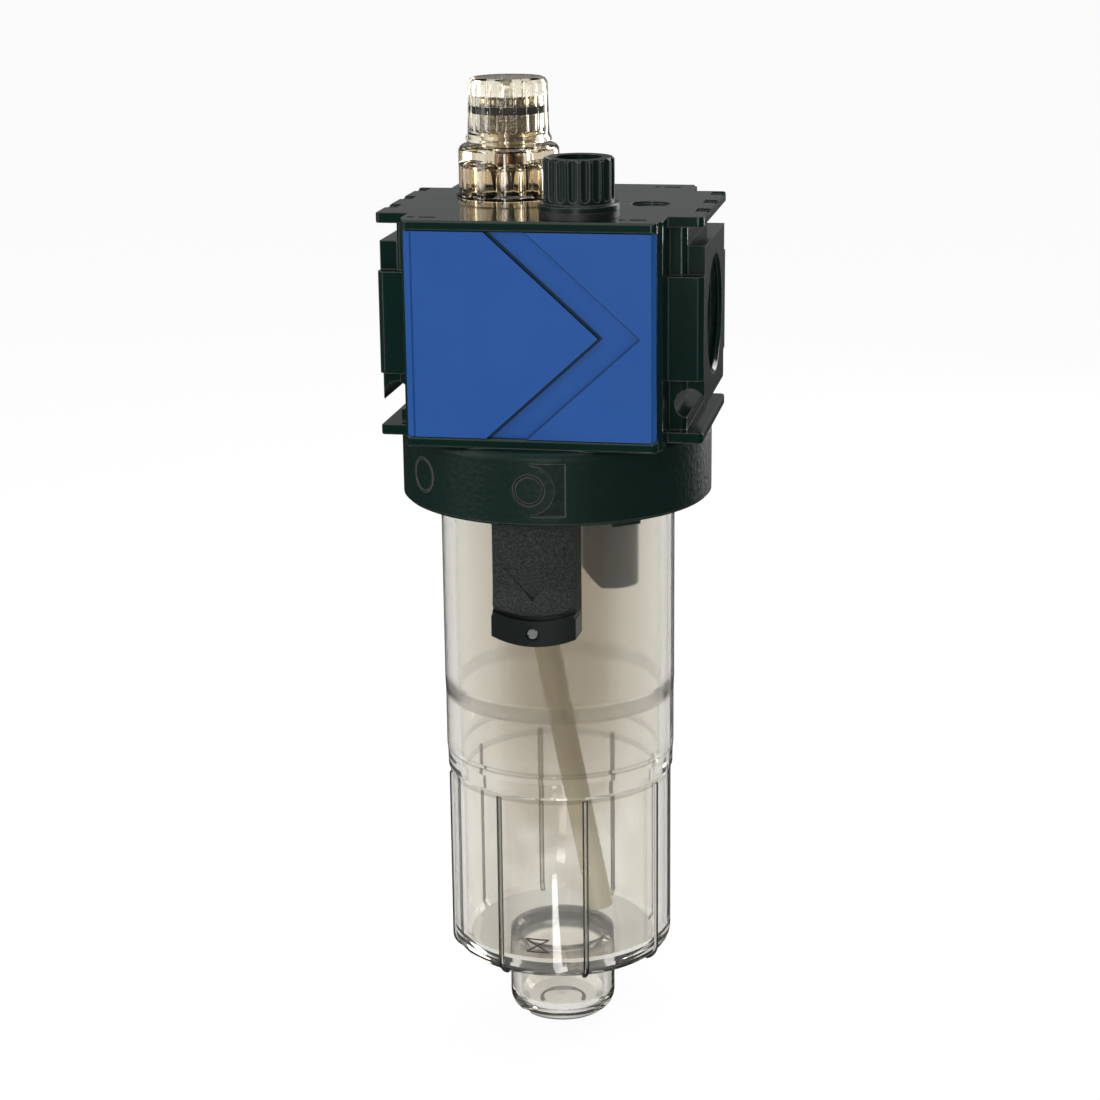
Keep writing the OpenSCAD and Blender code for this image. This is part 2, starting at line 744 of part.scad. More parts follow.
module fill_plug() {
    recess_r = 0.66 * plug_r;
    ribs_low = plug_base + plug_flange_t;
    color([0.06, 0.08, 0.08]) on_plug() difference() {
        rotate_extrude() polygon([
            [0, plug_base - 1], [plug_thread_r - 1.4, plug_base - 1],
            [plug_thread_r - 1.4, plug_base - plug_shank], [plug_thread_r, plug_base - plug_shank],
            [plug_thread_r, plug_base], [plug_flange_r, plug_base],
            [plug_flange_r, ribs_low - 0.3], [plug_flange_r - 0.3, ribs_low], [plug_r, ribs_low],
            [plug_r, plug_top - 0.4], [plug_r - 0.4, plug_top], [recess_r, plug_top],
            [recess_r, plug_top - 2.2], [0, plug_top - 2.2]]);
        flutes(plug_ribs, plug_r + 0.55, 1, ribs_low + 1.3, plug_top + 1);
    }
}

module plug_seal() {
    color([0.04, 0.05, 0.05]) on_plug() translate([0, 0, head_top + seat_gap]) rotate_extrude()
        translate([plug_thread_r + 0.2, 0]) square([plug_flange_r - plug_thread_r - 0.35, plug_seal_t]);
}

module filler_chute() {
    color([0.1, 0.11, 0.11]) place() translate([chute_x, 0, 0]) difference() {
        translate([0, 0, chute_low]) cylinder(r = chute_r, h = roof_z + chute_hold - chute_low);
        translate([0, 0, chute_low - 1])
            cylinder(r = chute_r - chute_wall, h = roof_z + chute_hold - chute_low + 2);
        translate([0, 0, chute_low]) rotate([0, 40, 0]) translate([0, 0, -6 - 0.1 * chute_r])
            cube([4 * chute_r, 4 * chute_r, 12], center = true);
    }
}

// Venturi ring with two ears for the flap's pin; its axis lies along the flow
module flow_insert() {
    color([0.75, 0.72, 0.62]) place() difference() {
        union() {
            along_x(passage_r - seat_gap, insert_low, insert_high);
            intersection() {
                for (s = [-1, 1]) insert_ear(s);
                along_x(passage_r - seat_gap, insert_high - 1, pin_x + 2);
            }
        }
        translate([insert_low - eps, 0, 0]) rotate([0, 90, 0])
            cylinder(r1 = passage_r - 0.8, r2 = throat_d / 2, h = 5);
        along_x(throat_d / 2, insert_low, insert_high + 1);
        drill([-4, 0, 2], [-4, 0, passage_r + 1], 0.9);
        translate([pin_x, 0, pin_z]) rotate([90, 0, 0])
            cylinder(r = pin_r + seat_gap, h = 20, center = true);
        translate([0, ear_gap / 2 - flap_wire / 2 - 0.15, pin_z + coil_r])
            along_x(flap_wire / 2 + 0.08, insert_high - 1, insert_high + 1, $fn = 24);
    }
}

// One ear of the insert, with the pin's hole at its end
module insert_ear(side) {
    y = side * (ear_gap / 2 + ear_t / 2);
    translate([pin_x, y, pin_z]) rotate([90, 0, 0]) cylinder(r = ear_r, h = ear_t, center = true);
    translate([(pin_x + insert_high) / 2 - 0.4, y, pin_z])
        cube([pin_x - insert_high + 0.8, ear_t, 2 * ear_r], center = true);
}

// Flap that hangs from the pin and covers the throat
module flow_flap() {
    face = insert_high + seat_gap;
    barrel = 2.2;
    shift = -(ear_gap - barrel) / 2 + 0.15;
    barrel_r = pin_r + 0.45;
    color([0.78, 0.8, 0.82]) place() difference() {
        union() {
            along_x(flap_r, face, face + flap_t);
            translate([pin_x, shift, pin_z]) rotate([90, 0, 0])
                cylinder(r = barrel_r, h = barrel, center = true);
            box([face, shift - barrel / 2, 0], [face + flap_t, shift + barrel / 2, pin_z - 0.2]);
            box([face, shift - barrel / 2, pin_z - barrel_r + 0.02],
                [pin_x, shift + barrel / 2, pin_z - 0.25]);
        }
        translate([pin_x, 0, pin_z]) rotate([90, 0, 0])
            cylinder(r = pin_r + run_gap, h = 20, center = true);
    }
}

module flap_pin() {
    color([0.8, 0.8, 0.82]) place() translate([pin_x, 0, pin_z]) rotate([90, 0, 0])
        cylinder(r = pin_r, h = ear_gap + 2 * ear_t - 0.1, center = true);
}

// Torsion spring on the flap's pin, hooked in the insert and bent against the flap
module flap_spring() {
    pitch = flap_wire + 0.04;
    from = -ear_gap / 2 + flap_wire / 2 + 0.15;
    turns = 2.25;
    back = -(pin_x - insert_high - flap_t) + flap_wire / 2 + 0.05;
    path = concat(
        [[-(pin_x - insert_high) - 0.7, coil_r, from]],
        [for (a = [0 : 15 : turns * 360]) [coil_r * sin(a), coil_r * cos(a), from + pitch * a / 360]],
        [for (p = [[coil_r, -0.9], [0.3, -1.5], [back, -2.2]]) [p[0], p[1], from + pitch * turns + 0.02]]);
    color([0.7, 0.7, 0.72]) place() translate([pin_x, 0, pin_z]) rotate([90, 0, 0])
        wire(path, flap_wire / 2);
}

// Points the tube's way from the middle of the fitting's ball
module on_lean() {
    place() translate([fitting_x, 0, ball_seat_z]) rotate([0, -tube_lean, 0]) children();
}

module siphon_fitting() {
    color([0.72, 0.58, 0.32]) {
        difference() {
            union() {
                place() translate([fitting_x, 0, roof_z - 3])
                    cylinder(r = fitting_hex, h = 3 - seat_gap, $fn = 6);
                place() translate([fitting_x, 0, roof_z - 0.5]) cylinder(r = fitting_r, h = 4.5);
                on_lean() sphere(r = 2.9);
                on_lean() translate([0, 0, -9]) cylinder(r = tube_bore - seat_gap, h = 9);
            }
            place() translate([fitting_x, 0, roof_z - 1.6]) cylinder(r = 1.7, h = 7);
            place() translate([fitting_x, 0, roof_z - 2.8]) cylinder(r1 = 0.75, r2 = 1.7, h = 1.2 + eps);
            on_lean() translate([0, 0, -10]) cylinder(r = 0.75, h = 11);
        }
    }
}

module siphon_ball() {
    color([0.8, 0.82, 0.85]) place() translate([fitting_x, 0, roof_z - 0.7]) sphere(r = 1.3);
}

module siphon_tube() {
    color([0.85, 0.82, 0.55, 0.7]) on_lean() difference() {
        translate([0, 0, -tube_start - tube_len]) cylinder(r = tube_r, h = tube_len);
        translate([0, 0, -tube_start - tube_len - 1]) cylinder(r = tube_bore, h = tube_len + 2);
        translate([0, 0, -tube_start - tube_len]) rotate([0, 30, 0]) translate([0, 0, -4.4])
            cube([20, 20, 6], center = true);
    }
}

// Section of the bowl from the rim down to the foot
module bowl_section() {
    mid_r = bowl_r - 0.1;
    polygon([
        [bowl_bore + 0.4, rim_z], [bowl_r - 0.3, rim_z], [bowl_r, rim_z - 0.3],
        [bowl_r, band_z], [mid_r, band_z - band_drop],
        [mid_r, step_z], [mid_r - 0.15, step_z - 1.4], [low_r + 0.35, step_z - step_drop + 0.6],
        [low_r, step_z - step_drop], [low_r, floor_z + corner_r],
        for (a = [15 : 15 : 90])
            [low_r - corner_r * (1 - cos(a)), floor_z + corner_r * (1 - sin(a))],
        [foot_r, floor_z - 0.6],
        [foot_r, foot_low + foot_round],
        for (a = [15 : 15 : 90])
            [foot_r - foot_round * (1 - cos(a)), foot_low + foot_round * (1 - sin(a))],
        [4.6, foot_low], [3.8, foot_low + 0.7], [0, foot_low + 0.9],
        [0, foot_low + bowl_floor],
        [well_r - 1.6, foot_low + bowl_floor], [well_r, foot_low + bowl_floor + 1.6],
        [well_r + 0.2, floor_in - 0.9], [well_r + 0.8, floor_in - 0.3],
        [low_bore - 1.2, floor_in + 0.2], [low_bore, floor_in + 1.4],
        [low_bore, step_z - step_drop], [bowl_bore - 0.3, step_z],
        [bowl_bore - 0.3, band_z - band_drop], [bowl_bore, band_z],
        [bowl_bore, rim_z - 0.5]]);
}

// Guide rail for the lock slide, with its spring shelf and screw slot
module lock_rail() {
    difference() {
        union() {
            box([-rail_neck, -rail_front + 0.1, rail_low], [rail_neck, -bowl_r + 1.2, rail_top]);
            box([-rail_head, -rail_front, rail_low], [rail_head, -rail_front + rail_head_t, rail_top]);
        }
        translate([0, -spring_y, spring_low]) cylinder(r = lock_spring_r + spring_room, h = 40);
        translate([0, 0, screw_z + 0.3]) rotate([90, 0, 0]) cylinder(r = screw_r + 0.15, h = 60);
        box([-screw_r - 0.15, -60, rail_low - 1], [screw_r + 0.15, 0, screw_z + 0.3]);
        cylinder(r = bowl_bore + 1.2, h = 400, center = true);
    }
}

module bowl() {
    color([0.86, 0.86, 0.8, 0.4]) place() {
        rotate_extrude() bowl_section();
        for (k = [0 : rib_count - 1]) rotate([0, 0, (k + 0.5) * 360 / rib_count])
            translate([0, -low_r + 0.1, floor_z + corner_r])
                cylinder(r = rib_r, h = step_z - step_drop - floor_z - corner_r - 0.6, $fn = 20);
        for (at = ledge_at)
            sector(bowl_r - 0.6, lug_out, lug_low, lug_low + lug_h,
                at - lug_deg / 2, at + lug_deg / 2);
        lock_rail();
    }
}

module bowl_seal() {
    color([0.05, 0.05, 0.05]) place() translate([0, 0, seal_z])
        torus(bowl_bore - seal_gap - seal_cord / 2, seal_cord / 2);
}

// Plan of the slide: a curved front between two sides that widen to the back
module slide_plan(front_w) {
    back = slide_back * 0.92;
    intersection() {
        circle(r = slide_front);
        polygon([[-front_w / 2, -slide_front - 1], [front_w / 2, -slide_front - 1],
            [slide_base, -back], [-slide_base, -back]]);
    }
}

// Front view of all that lies above a curved edge across the slide
module above_arc(low) {
    translate([0, low + slide_arc]) {
        circle(r = slide_arc);
        translate([-slide_arc, 0]) square([2 * slide_arc, 60]);
    }
}

// Block through the slide with a given front view
module through(from, to) {
    translate([0, -from, 0]) rotate([90, 0, 0]) linear_extrude(to - from) children();
}

module lock_slide() {
    high = tongue_top - slide_low;
    color([0.1, 0.12, 0.12]) place() difference() {
        intersection() {
            union() {
                translate([0, 0, slide_low]) linear_extrude(high) slide_plan(slide_w - 2 * grip_side);
                translate([0, 0, slide_low]) linear_extrude(band_h + 0.4) slide_plan(slide_w);
            }
            through(10, 30) above_arc(slide_low);
        }
        cylinder(r = slide_back, h = 400, center = true);
        // Channel round the rail
        box([-rail_neck - slide_gap, -rail_front - 0.1, slide_low - 1],
            [rail_neck + slide_gap, 0, channel_top]);
        box([-rail_head - slide_gap, -rail_front - slide_gap, slide_low - 1],
            [rail_head + slide_gap, -rail_front + rail_head_t + slide_gap, channel_top]);
        // Half of the spring's pocket
        translate([0, -spring_y, spring_low - 1])
            cylinder(r = lock_spring_r + spring_room, h = spring_high - spring_low + 1);
        // The grip stands back under the collar and runs out to a lip at its foot
        rotate_extrude() polygon([
            [slide_front + 2, grip_high], [slide_front - grip_set, grip_high],
            [slide_front - grip_set, grip_low + lip_h], [slide_front - 0.3 * grip_set, grip_low + 1.4],
            [slide_front - 0.15, grip_low + 0.3], [slide_front + 2, grip_low + 0.3]]);
        // Curved groove between grip and band
        difference() {
            through(10, 40) difference() {
                above_arc(band_top);
                above_arc(grip_low);
            }
            cylinder(r = slide_front - grip_set - 0.1, h = 400, center = true);
        }
        // Smooth arrowhead in the grip
        difference() {
            through(10, 40)
                polygon([[-arrow_half, arrow_top], [arrow_half, arrow_top], [0, arrow_tip]]);
            cylinder(r = slide_front - grip_set - 0.15, h = 400, center = true);
        }
        translate([0, 0, screw_z]) rotate([90, 0, 0]) {
            cylinder(r = screw_r + 0.02, h = 60);
            translate([0, 0, slide_front - 0.6]) cylinder(r = screw_r + 0.4, h = 3);
        }
    }
}

module lock_screw() {
    tip = rail_front - 0.9;
    color([0.75, 0.76, 0.78]) place() translate([0, -tip, screw_z]) rotate([90, 0, 0]) difference() {
        cylinder(r = screw_r, h = slide_front - 0.15 - tip);
        translate([0, 0, slide_front - 0.3 - tip]) rotate([0, 0, 25]) cube([4, 0.35, 0.8], center = true);
    }
}

// Lock spring at its working length, with closed ends
module lock_spring() {
    wire_r = lock_wire / 2;
    h = spring_high - spring_low - lock_wire - 2 * seat_gap;
    turns = 9;
    closed = 1;
    r = lock_spring_r - wire_r;
    low = lock_wire + 0.02;
    path = [for (a = [0 : 20 : turns * 360]) let(k = a / 360)
        [r * cos(a), r * sin(a), k < closed ? low * k
            : k > turns - closed ? h - low * (turns - k)
            : low + (h - 2 * low) * (k - closed) / (turns - 2 * closed)]];
    color([0.7, 0.72, 0.74]) place()
        translate([0, -spring_y, spring_low + wire_r + seat_gap]) wire(path, wire_r);
}

body();
front_cover();
rear_cover();
sight_dome();
dome_seal();
drip_nozzle();
adjusting_knob();
knob_seal();
metering_needle();
needle_seal();
fill_plug();
plug_seal();
filler_chute();
flow_insert();
flow_flap();
flap_pin();
flap_spring();
siphon_fitting();
siphon_ball();
siphon_tube();
bowl();
bowl_seal();
lock_slide();
lock_screw();
lock_spring();
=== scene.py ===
import math
import bpy
import bmesh
from mathutils import Matrix, Vector


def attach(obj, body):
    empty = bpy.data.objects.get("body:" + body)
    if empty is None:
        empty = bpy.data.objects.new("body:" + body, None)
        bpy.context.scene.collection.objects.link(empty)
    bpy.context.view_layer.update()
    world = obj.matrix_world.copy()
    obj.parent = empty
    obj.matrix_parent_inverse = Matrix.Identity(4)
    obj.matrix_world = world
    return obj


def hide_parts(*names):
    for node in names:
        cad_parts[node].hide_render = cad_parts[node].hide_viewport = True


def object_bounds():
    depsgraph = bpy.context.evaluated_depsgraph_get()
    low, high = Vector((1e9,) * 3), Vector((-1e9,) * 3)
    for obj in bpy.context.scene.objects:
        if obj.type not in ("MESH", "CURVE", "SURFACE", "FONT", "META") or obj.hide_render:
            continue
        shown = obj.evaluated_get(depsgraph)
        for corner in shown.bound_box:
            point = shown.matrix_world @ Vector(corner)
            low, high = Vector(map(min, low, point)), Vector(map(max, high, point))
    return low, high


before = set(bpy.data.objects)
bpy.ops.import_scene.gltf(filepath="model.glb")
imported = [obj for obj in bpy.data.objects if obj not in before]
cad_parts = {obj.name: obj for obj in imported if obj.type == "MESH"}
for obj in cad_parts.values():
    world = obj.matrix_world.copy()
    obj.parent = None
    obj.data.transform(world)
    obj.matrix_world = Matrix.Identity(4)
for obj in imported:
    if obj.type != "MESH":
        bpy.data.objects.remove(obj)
solids_low, solids_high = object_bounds()


# Studio: a pale floor under the lubricator, which is held up by its ports as on a pipe, soft lamps
# round it, and a narrow strip near the floor that the lower bowl mirrors. The camera stands where
# the photograph was taken from.
def look_angles(forward, roll=0.0):
    """Rotation of a camera or lamp that looks along forward and is rolled about that direction."""
    turned = forward.to_track_quat("-Z", "Y").to_matrix().to_4x4()
    return turned @ Matrix.Rotation(roll, 4, "Z")


view_yaw, view_pitch, view_roll = math.radians(10.62), math.radians(15.64), math.radians(-0.66)
toward = Vector((
    -math.sin(view_yaw) * math.cos(view_pitch),
    math.cos(view_yaw) * math.cos(view_pitch),
    -math.sin(view_pitch)))
camera = bpy.data.objects.new("camera", bpy.data.cameras.new("camera"))
camera.data.sensor_width = 36
camera.data.lens = 80.66
camera.data.clip_start = 0.01
camera_place = Matrix.Translation((0.11033, -0.44297, 0.08003))
camera.matrix_world = camera_place @ look_angles(toward, view_roll)
bpy.context.collection.objects.link(camera)
bpy.context.scene.camera = camera
bpy.context.scene.view_settings.view_transform = "Standard"


class Value:
    """A number or vector socket whose arithmetic adds Math nodes to its tree."""

    def __init__(self, graph, socket):
        self.graph, self.socket = graph, socket

    def _math(self, operation, *terms):
        return self.graph.add("ShaderNodeMath", {"operation": operation}, dict(enumerate(terms)))

    def __add__(self, other):
        return self._math("ADD", self, other)

    __radd__ = __add__

    def __sub__(self, other):
        return self._math("SUBTRACT", self, other)

    def __mul__(self, other):
        return self._math("MULTIPLY", self, other)

    __rmul__ = __mul__

    def below(self, edge):
        return self._math("LESS_THAN", self, edge)

    def larger(self, other):
        return self._math("MAXIMUM", self, other)

    def ramp(self, low, high, first=0.0, last=1.0):
        """Runs smoothly from first to last while this value goes from low to high."""
        return self.graph.add(
            "ShaderNodeMapRange", {"interpolation_type": "SMOOTHSTEP"},
            {0: self, 1: low, 2: high, 3: first, 4: last})

    def between(self, low, high, soft):
        """1 from low to high, and fading to 0 over soft inside each end."""
        return self.ramp(low, low + soft) * self.ramp(high, high - soft)


class Graph:
    """The node tree of a material or world, and a short way to add nodes to it."""

    def __init__(self, owner):
        owner.use_nodes = True
        self.nodes, self.links = owner.node_tree.nodes, owner.node_tree.links

    def add(self, kind, settings=None, inputs=None, output=0):
        node = self.nodes.new(kind)
        for key, value in (settings or {}).items():
            setattr(node, key, value)
        for key, value in (inputs or {}).items():
            self.put(value, node.inputs[key])
        return Value(self, node.outputs[output])

    def put(self, value, socket):
        if isinstance(value, Value):
            self.links.new(value.socket, socket)
        else:
            socket.default_value = value

    def point(self, kind="Object"):
        return self.add("ShaderNodeTexCoord", output=kind)

    def noise(self, scale, detail=4.0):
        return self.add("ShaderNodeTexNoise", {}, {
            "Vector": self.point(), "Scale": scale, "Detail": detail})

    def blend(self, share, first, second):
        first, second = (c if isinstance(c, Value) else (*c, 1) for c in (first, second))
        colours = {0: share, 6: first, 7: second}
        return self.add("ShaderNodeMix", {"data_type": "RGBA"}, colours, output=2)

    def surround(self, way):
        """White round the lubricator and darker far above it, by the way that a ray leaves."""
        rise = self.split(way)[2]
        mirrored = self.ray("Glossy") * rise.ramp(-0.25, 0.1, 0.02, 0.23)
        return rise.ramp(0.2, 0.7, 1.0, 0.1) * self.ray("Transmission").larger(mirrored)

    def split(self, vector):
        """The three parts of a vector, along X, Y and Z."""
        along_x = self.add("ShaderNodeSeparateXYZ", {}, {0: vector})
        return [Value(self, part) for part in along_x.socket.node.outputs]

    def ray(self, kind):
        return self.add("ShaderNodeLightPath", output=f"Is {kind} Ray")


class Finish(Graph):
    """A material with one Principled shader."""

    def __init__(self, name, **looks):
        self.material = bpy.data.materials.new(name)
        super().__init__(self.material)
        self.shader = self.nodes["Principled BSDF"]
        for socket, value in looks.items():
            self.shader.inputs[socket.replace("_", " ")].default_value = value

    def feed(self, socket, value):
        self.links.new(value.socket, self.shader.inputs[socket])

    def facing(self):
        """0 where clear plastic faces the viewer, up to 1 where it is seen edge on."""
        return self.add("ShaderNodeLayerWeight", {}, {0: 0.5}, output=1)

    def rounded(self, width):
        """Normal of edges rounded to width, and a mask that is 1 on those edges, for a painted
        highlight.
        """
        soft = self.add("ShaderNodeBevel", {"samples": 4}, {"Radius": width})
        match = self.add(
            "ShaderNodeVectorMath", {"operation": "DOT_PRODUCT"},
            {0: soft, 1: self.add("ShaderNodeNewGeometry", output=3)}, output=1)
        return soft, match.ramp(0.985, 0.82)

    def bump(self, height, strength, distance, normal=None):
        inputs = {"Height": height, "Strength": strength, "Distance": distance}
        if normal:
            inputs["Normal"] = normal
        self.feed("Normal", self.add("ShaderNodeBump", {}, inputs))

    def on(self, *names):
        for name in names:
            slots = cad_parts[name].data.materials
            slots.clear()
            slots.append(self.material)


def lamp(name, place, size, power):
    """A rectangular lamp at place, turned towards the middle of the lubricator."""
    light = bpy.data.objects.new(name, bpy.data.lights.new(name, "AREA"))
    light.data.shape = "RECTANGLE"
    light.data.size, light.data.size_y = size
    light.data.energy = power
    light.matrix_world = Matrix.Translation(place) @ look_angles(middle - Vector(place))
    bpy.context.collection.objects.link(light)
    return light


middle = (solids_low + solids_high) / 2
lamp("front_strip", (0.037, -0.72, 0.05), (0.06, 0.7), 2.2)
lamp("left_window", (-0.45, -0.3, 0.2), (0.3, 0.7), 1.7)
lamp("right_window", (0.33, 0.47, 0.12), (0.2, 0.6), 2.5)
lamp("top_window", (0.03, 0.0, 0.6), (0.5, 0.4), 1.6)
low_strip = lamp("low_strip", (0.0345, -0.06, solids_low.z + 0.004), (0.007, 0.07), 0.012)
face_up = Matrix.Rotation(math.radians(180), 4, "X")
low_strip.matrix_world = Matrix.Translation(low_strip.location) @ face_up
low_strip.visible_camera = False

paper = Finish("backdrop", Roughness=0.9, Specular_IOR_Level=0.0, Emission_Strength=0.93)
off_middle = paper.add("ShaderNodeVectorMath", {"operation": "SUBTRACT"}, {0: paper.point(), 1: middle})
far_way = paper.add("ShaderNodeVectorMath", {"operation": "NORMALIZE"}, {0: off_middle})
seen = paper.ray("Camera")
paper.feed("Emission Color", seen.larger(paper.surround(far_way)))
traced = seen.larger(paper.ray("Transmission")).larger(paper.ray("Glossy"))
low_tone = paper.blend(paper.ray("Glossy"), (0.1, 0.1, 0.1), (0.015, 0.015, 0.015))
paper.feed("Base Color", paper.blend(traced, (0.9, 0.9, 0.89), low_tone))
floor_mesh = bmesh.new()
bmesh.ops.create_grid(floor_mesh, x_segments=1, y_segments=1, size=15)
bmesh.ops.translate(floor_mesh, verts=floor_mesh.verts, vec=(0, 0, solids_low.z - 0.0005))
floor_data = bpy.data.meshes.new("floor")
floor_mesh.to_mesh(floor_data)
floor_mesh.free()
floor = bpy.data.objects.new("floor", floor_data)
floor.data.materials.append(paper.material)
bpy.context.collection.objects.link(floor)

bpy.context.scene.world = bpy.data.worlds.new("studio")
room = Graph(bpy.context.scene.world)
light_in = room.surround(room.point("Generated")).larger(room.ray("Diffuse") * 0.28)
room.put(light_in.larger(room.ray("Camera")), room.nodes["Background"].inputs["Strength"])
room.nodes["Background"].inputs["Color"].default_value = (1, 1, 1, 1)


# Head: a pressure die casting in zinc alloy, stoved with a thin greenish-black paint. The flat
# faces are smooth enough to mirror the dome; the collar keeps the grain of the die. A parallel
# pipe thread is cut into both ports.
casting = Finish("black_casting", Specular_IOR_Level=0.2)
collar_top, edge_round = -0.0206, 0.00035
paint, edge_highlight_colour = (0.0035, 0.0165, 0.0125), (0.14, 0.13, 0.117)
collar_part = casting.split(casting.point())[2].below(collar_top)
casting_normal, edge_highlight_mask = casting.rounded(edge_round)
# Painted highlight: edges found by the bevel normal are coloured pale, as rounded edges would mirror
# the lamps.
casting.feed("Base Color", casting.blend(edge_highlight_mask, paint, edge_highlight_colour))
casting.feed("Roughness", 0.07 + casting.noise(60.0) * 0.07 + collar_part * 0.31)
casting.bump(casting.noise(900.0, 3.0) * (collar_part * 0.8 + 0.08), 0.5, 0.00025, casting_normal)
casting.on("body")


def solid(name, mesh, finish, slot, body, *hidden):
    """Object made from a bmesh, that moves with a body and may stand for hidden CAD nodes."""
    data = bpy.data.meshes.new(name)
    bmesh.ops.recalc_face_normals(mesh, faces=mesh.faces)
    mesh.to_mesh(data)
    mesh.free()
    piece = bpy.data.objects.new(name, data)
    bpy.context.collection.objects.link(piece)
    data.materials.append(finish.material)
    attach(piece, body)
    if hidden:
        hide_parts(*hidden)


def helix(name, root_r, crest_r, pitch, length, place, turn, finish, slot, facets=48):
    """Thread ridge on a wall of radius root_r, wound along its own Z axis and then put in place."""
    mesh = bmesh.new()
    past = root_r + (root_r - crest_r) * 0.05
    profile = [(past, 0), (past, 0.92 * pitch), (crest_r, 0.56 * pitch), (crest_r, 0.38 * pitch)]
    ring = [mesh.verts.new((r, 0, along)) for r, along in profile]
    edges = [mesh.edges.new((ring[i], ring[(i + 1) % len(ring)])) for i in range(len(ring))]
    face = mesh.faces.new(ring)
    turns = length / pitch - 1
    bmesh.ops.spin(
        mesh, geom=[face] + edges + ring, cent=(0, 0, 0), axis=(0, 0, 1), dvec=(0, 0, pitch / facets),
        angle=turns * math.tau, steps=int(turns * facets), use_merge=False, use_duplicate=False)
    bmesh.ops.rotate(mesh, verts=mesh.verts, matrix=Matrix.Rotation(math.radians(turn), 3, "Y"))
    bmesh.ops.translate(mesh, verts=mesh.verts, vec=place)
    solid(name, mesh, finish, slot, "head")


pipe_r, pipe_pitch, thread_depth = 0.0104775, 0.001814, 0.0145
crest_r = pipe_r - 0.64 * pipe_pitch
for port, mouth_x, turn in (("inlet", 0.0002, 90), ("outlet", 0.0576, -90)):
    helix(
        f"{port}_thread", pipe_r, crest_r, pipe_pitch, thread_depth, (mouth_x, 0, 0), turn,
        casting, "black_casting")

# Covers: two blue injection-moulded plates that snap over the front and back of the head. The
# arrow band is sunk a little and shows the way that the air flows.
blue = Finish("blue_cover", Specular_IOR_Level=0.15)
tone = blue.noise(90.0, 5.0)
tip_x, tip_z, slant, band_wide = 0.04113, -0.00025, 1.0989, 0.0049
flow, level = blue.split(blue.point())[::2]
level = level - tip_z
past_tip = flow - tip_x + slant * level.larger(-1 * level)
past_band = past_tip * (1 / math.hypot(1, slant))
# Painted shade: a dark line on the wall along the band's inner edge, and a fainter line along its outer
# edge.
inner_wall_shade = past_band.ramp(-0.0001, 0.0) * past_band.ramp(0.0006, 0.0004)
outer_edge_shade = past_band.between(band_wide - 0.0002, band_wide + 0.0002, 0.0001)
plain = blue.blend(tone, (0.012, 0.072, 0.285), (0.018, 0.088, 0.325))
blue.feed("Base Color", blue.blend(inner_wall_shade.larger(outer_edge_shade * 0.6), plain, (0.005, 0.026, 0.05)))
blue.feed("Roughness", 0.36 + tone * 0.12)
blue.bump(blue.noise(2200.0, 2.0), 0.1, 0.00008)
blue.on("front_cover", "rear_cover")

# Flow insert: a moulded venturi ring pressed into the air passage, with a thin steel flap on a
# pin and a wound wire spring that closes it.
nylon = Finish("pale_nylon", Base_Color=(0.62, 0.58, 0.46, 1), Roughness=0.45, Subsurface_Weight=0.1)
nylon.bump(nylon.noise(700.0), 0.1, 0.0001)
nylon.on("flow_insert")
steel = Finish("bright_steel", Base_Color=(0.62, 0.63, 0.65, 1), Metallic=1.0)
steel.feed("Roughness", 0.22 + steel.noise(500.0) * 0.15)
steel.on(
    "flow_flap", "flap_pin", "flap_spring", "lock_spring", "siphon_ball", "lock_screw",
    "metering_needle")

# Siphon: a turned brass fitting with a ball check under the head, and a flexible nylon tube
# pushed over its barb, which leans across the bowl to the floor.
brass = Finish("turned_brass", Base_Color=(0.42, 0.31, 0.14, 1), Metallic=1.0)
brass.feed("Roughness", 0.24 + brass.noise(400.0) * 0.14)
brass.on("siphon_fitting")
tube = Finish("siphon_nylon", Roughness=0.35, IOR=1.5, Transmission_Weight=0.25)
tube.feed("Base Color", tube.blend(tube.noise(80.0), (0.78, 0.71, 0.52), (0.88, 0.82, 0.64)))
tube.on("siphon_tube")

# Filler chute: a black moulded pipe, cut off at a slant and pushed into the head. It carries new
# oil from the plug's hole past the siphon into the bowl.
matt_black = Finish("black_moulding", Base_Color=(0.02, 0.021, 0.02, 1), Roughness=0.4)
matt_black.on("filler_chute")

# Bowl: moulded in clear polycarbonate with a grey-yellow cast, and held in the collar by bayonet
# lugs at its rim. A fine matt band runs round its middle. Painted shade darkens the upper middle
# where one looks straight through, the glass where it is seen edge on, the step, and the mouth of
# the well in the floor.
clear = Finish("clear_bowl", IOR=1.55, Transmission_Weight=0.94)
bowl_x, band_low, band_high, outer_wall = 0.0289, -0.0735, -0.0703, 0.021
floor_top, floor_round, well_low, well_r, well_rim = -0.1229, -0.1222, -0.1276, 0.0076, 0.0105
x_in, y_in, z_in = clear.split(clear.point())
x_in = x_in - bowl_x
r_in = clear.add("ShaderNodeMath", {"operation": "SQRT"}, {0: x_in * x_in + y_in * y_in})
facing = clear.facing()
# Painted shade where the glass is seen edge on, coming sooner on the bowl's floor.
edge_on_shade = facing.ramp(0.74, 0.99).larger(facing.ramp(0.35, 0.8) * z_in.below(floor_round))
# Painted shade: the upper part, broken by noise, is darkened where one looks straight through the bowl
# and left clear towards its edges.
painted_upper_shade = clear.noise(38.0, 3.0).ramp(0.35, 0.7).larger(z_in.ramp(-0.1, -0.08) * 0.9)
painted_middle_shade = painted_upper_shade * facing.ramp(0.06, 0.27, 1.0, 0.0)
fine_band = z_in.between(band_low, band_high, 0.0002) * r_in.ramp(outer_wall, outer_wall + 0.0005)
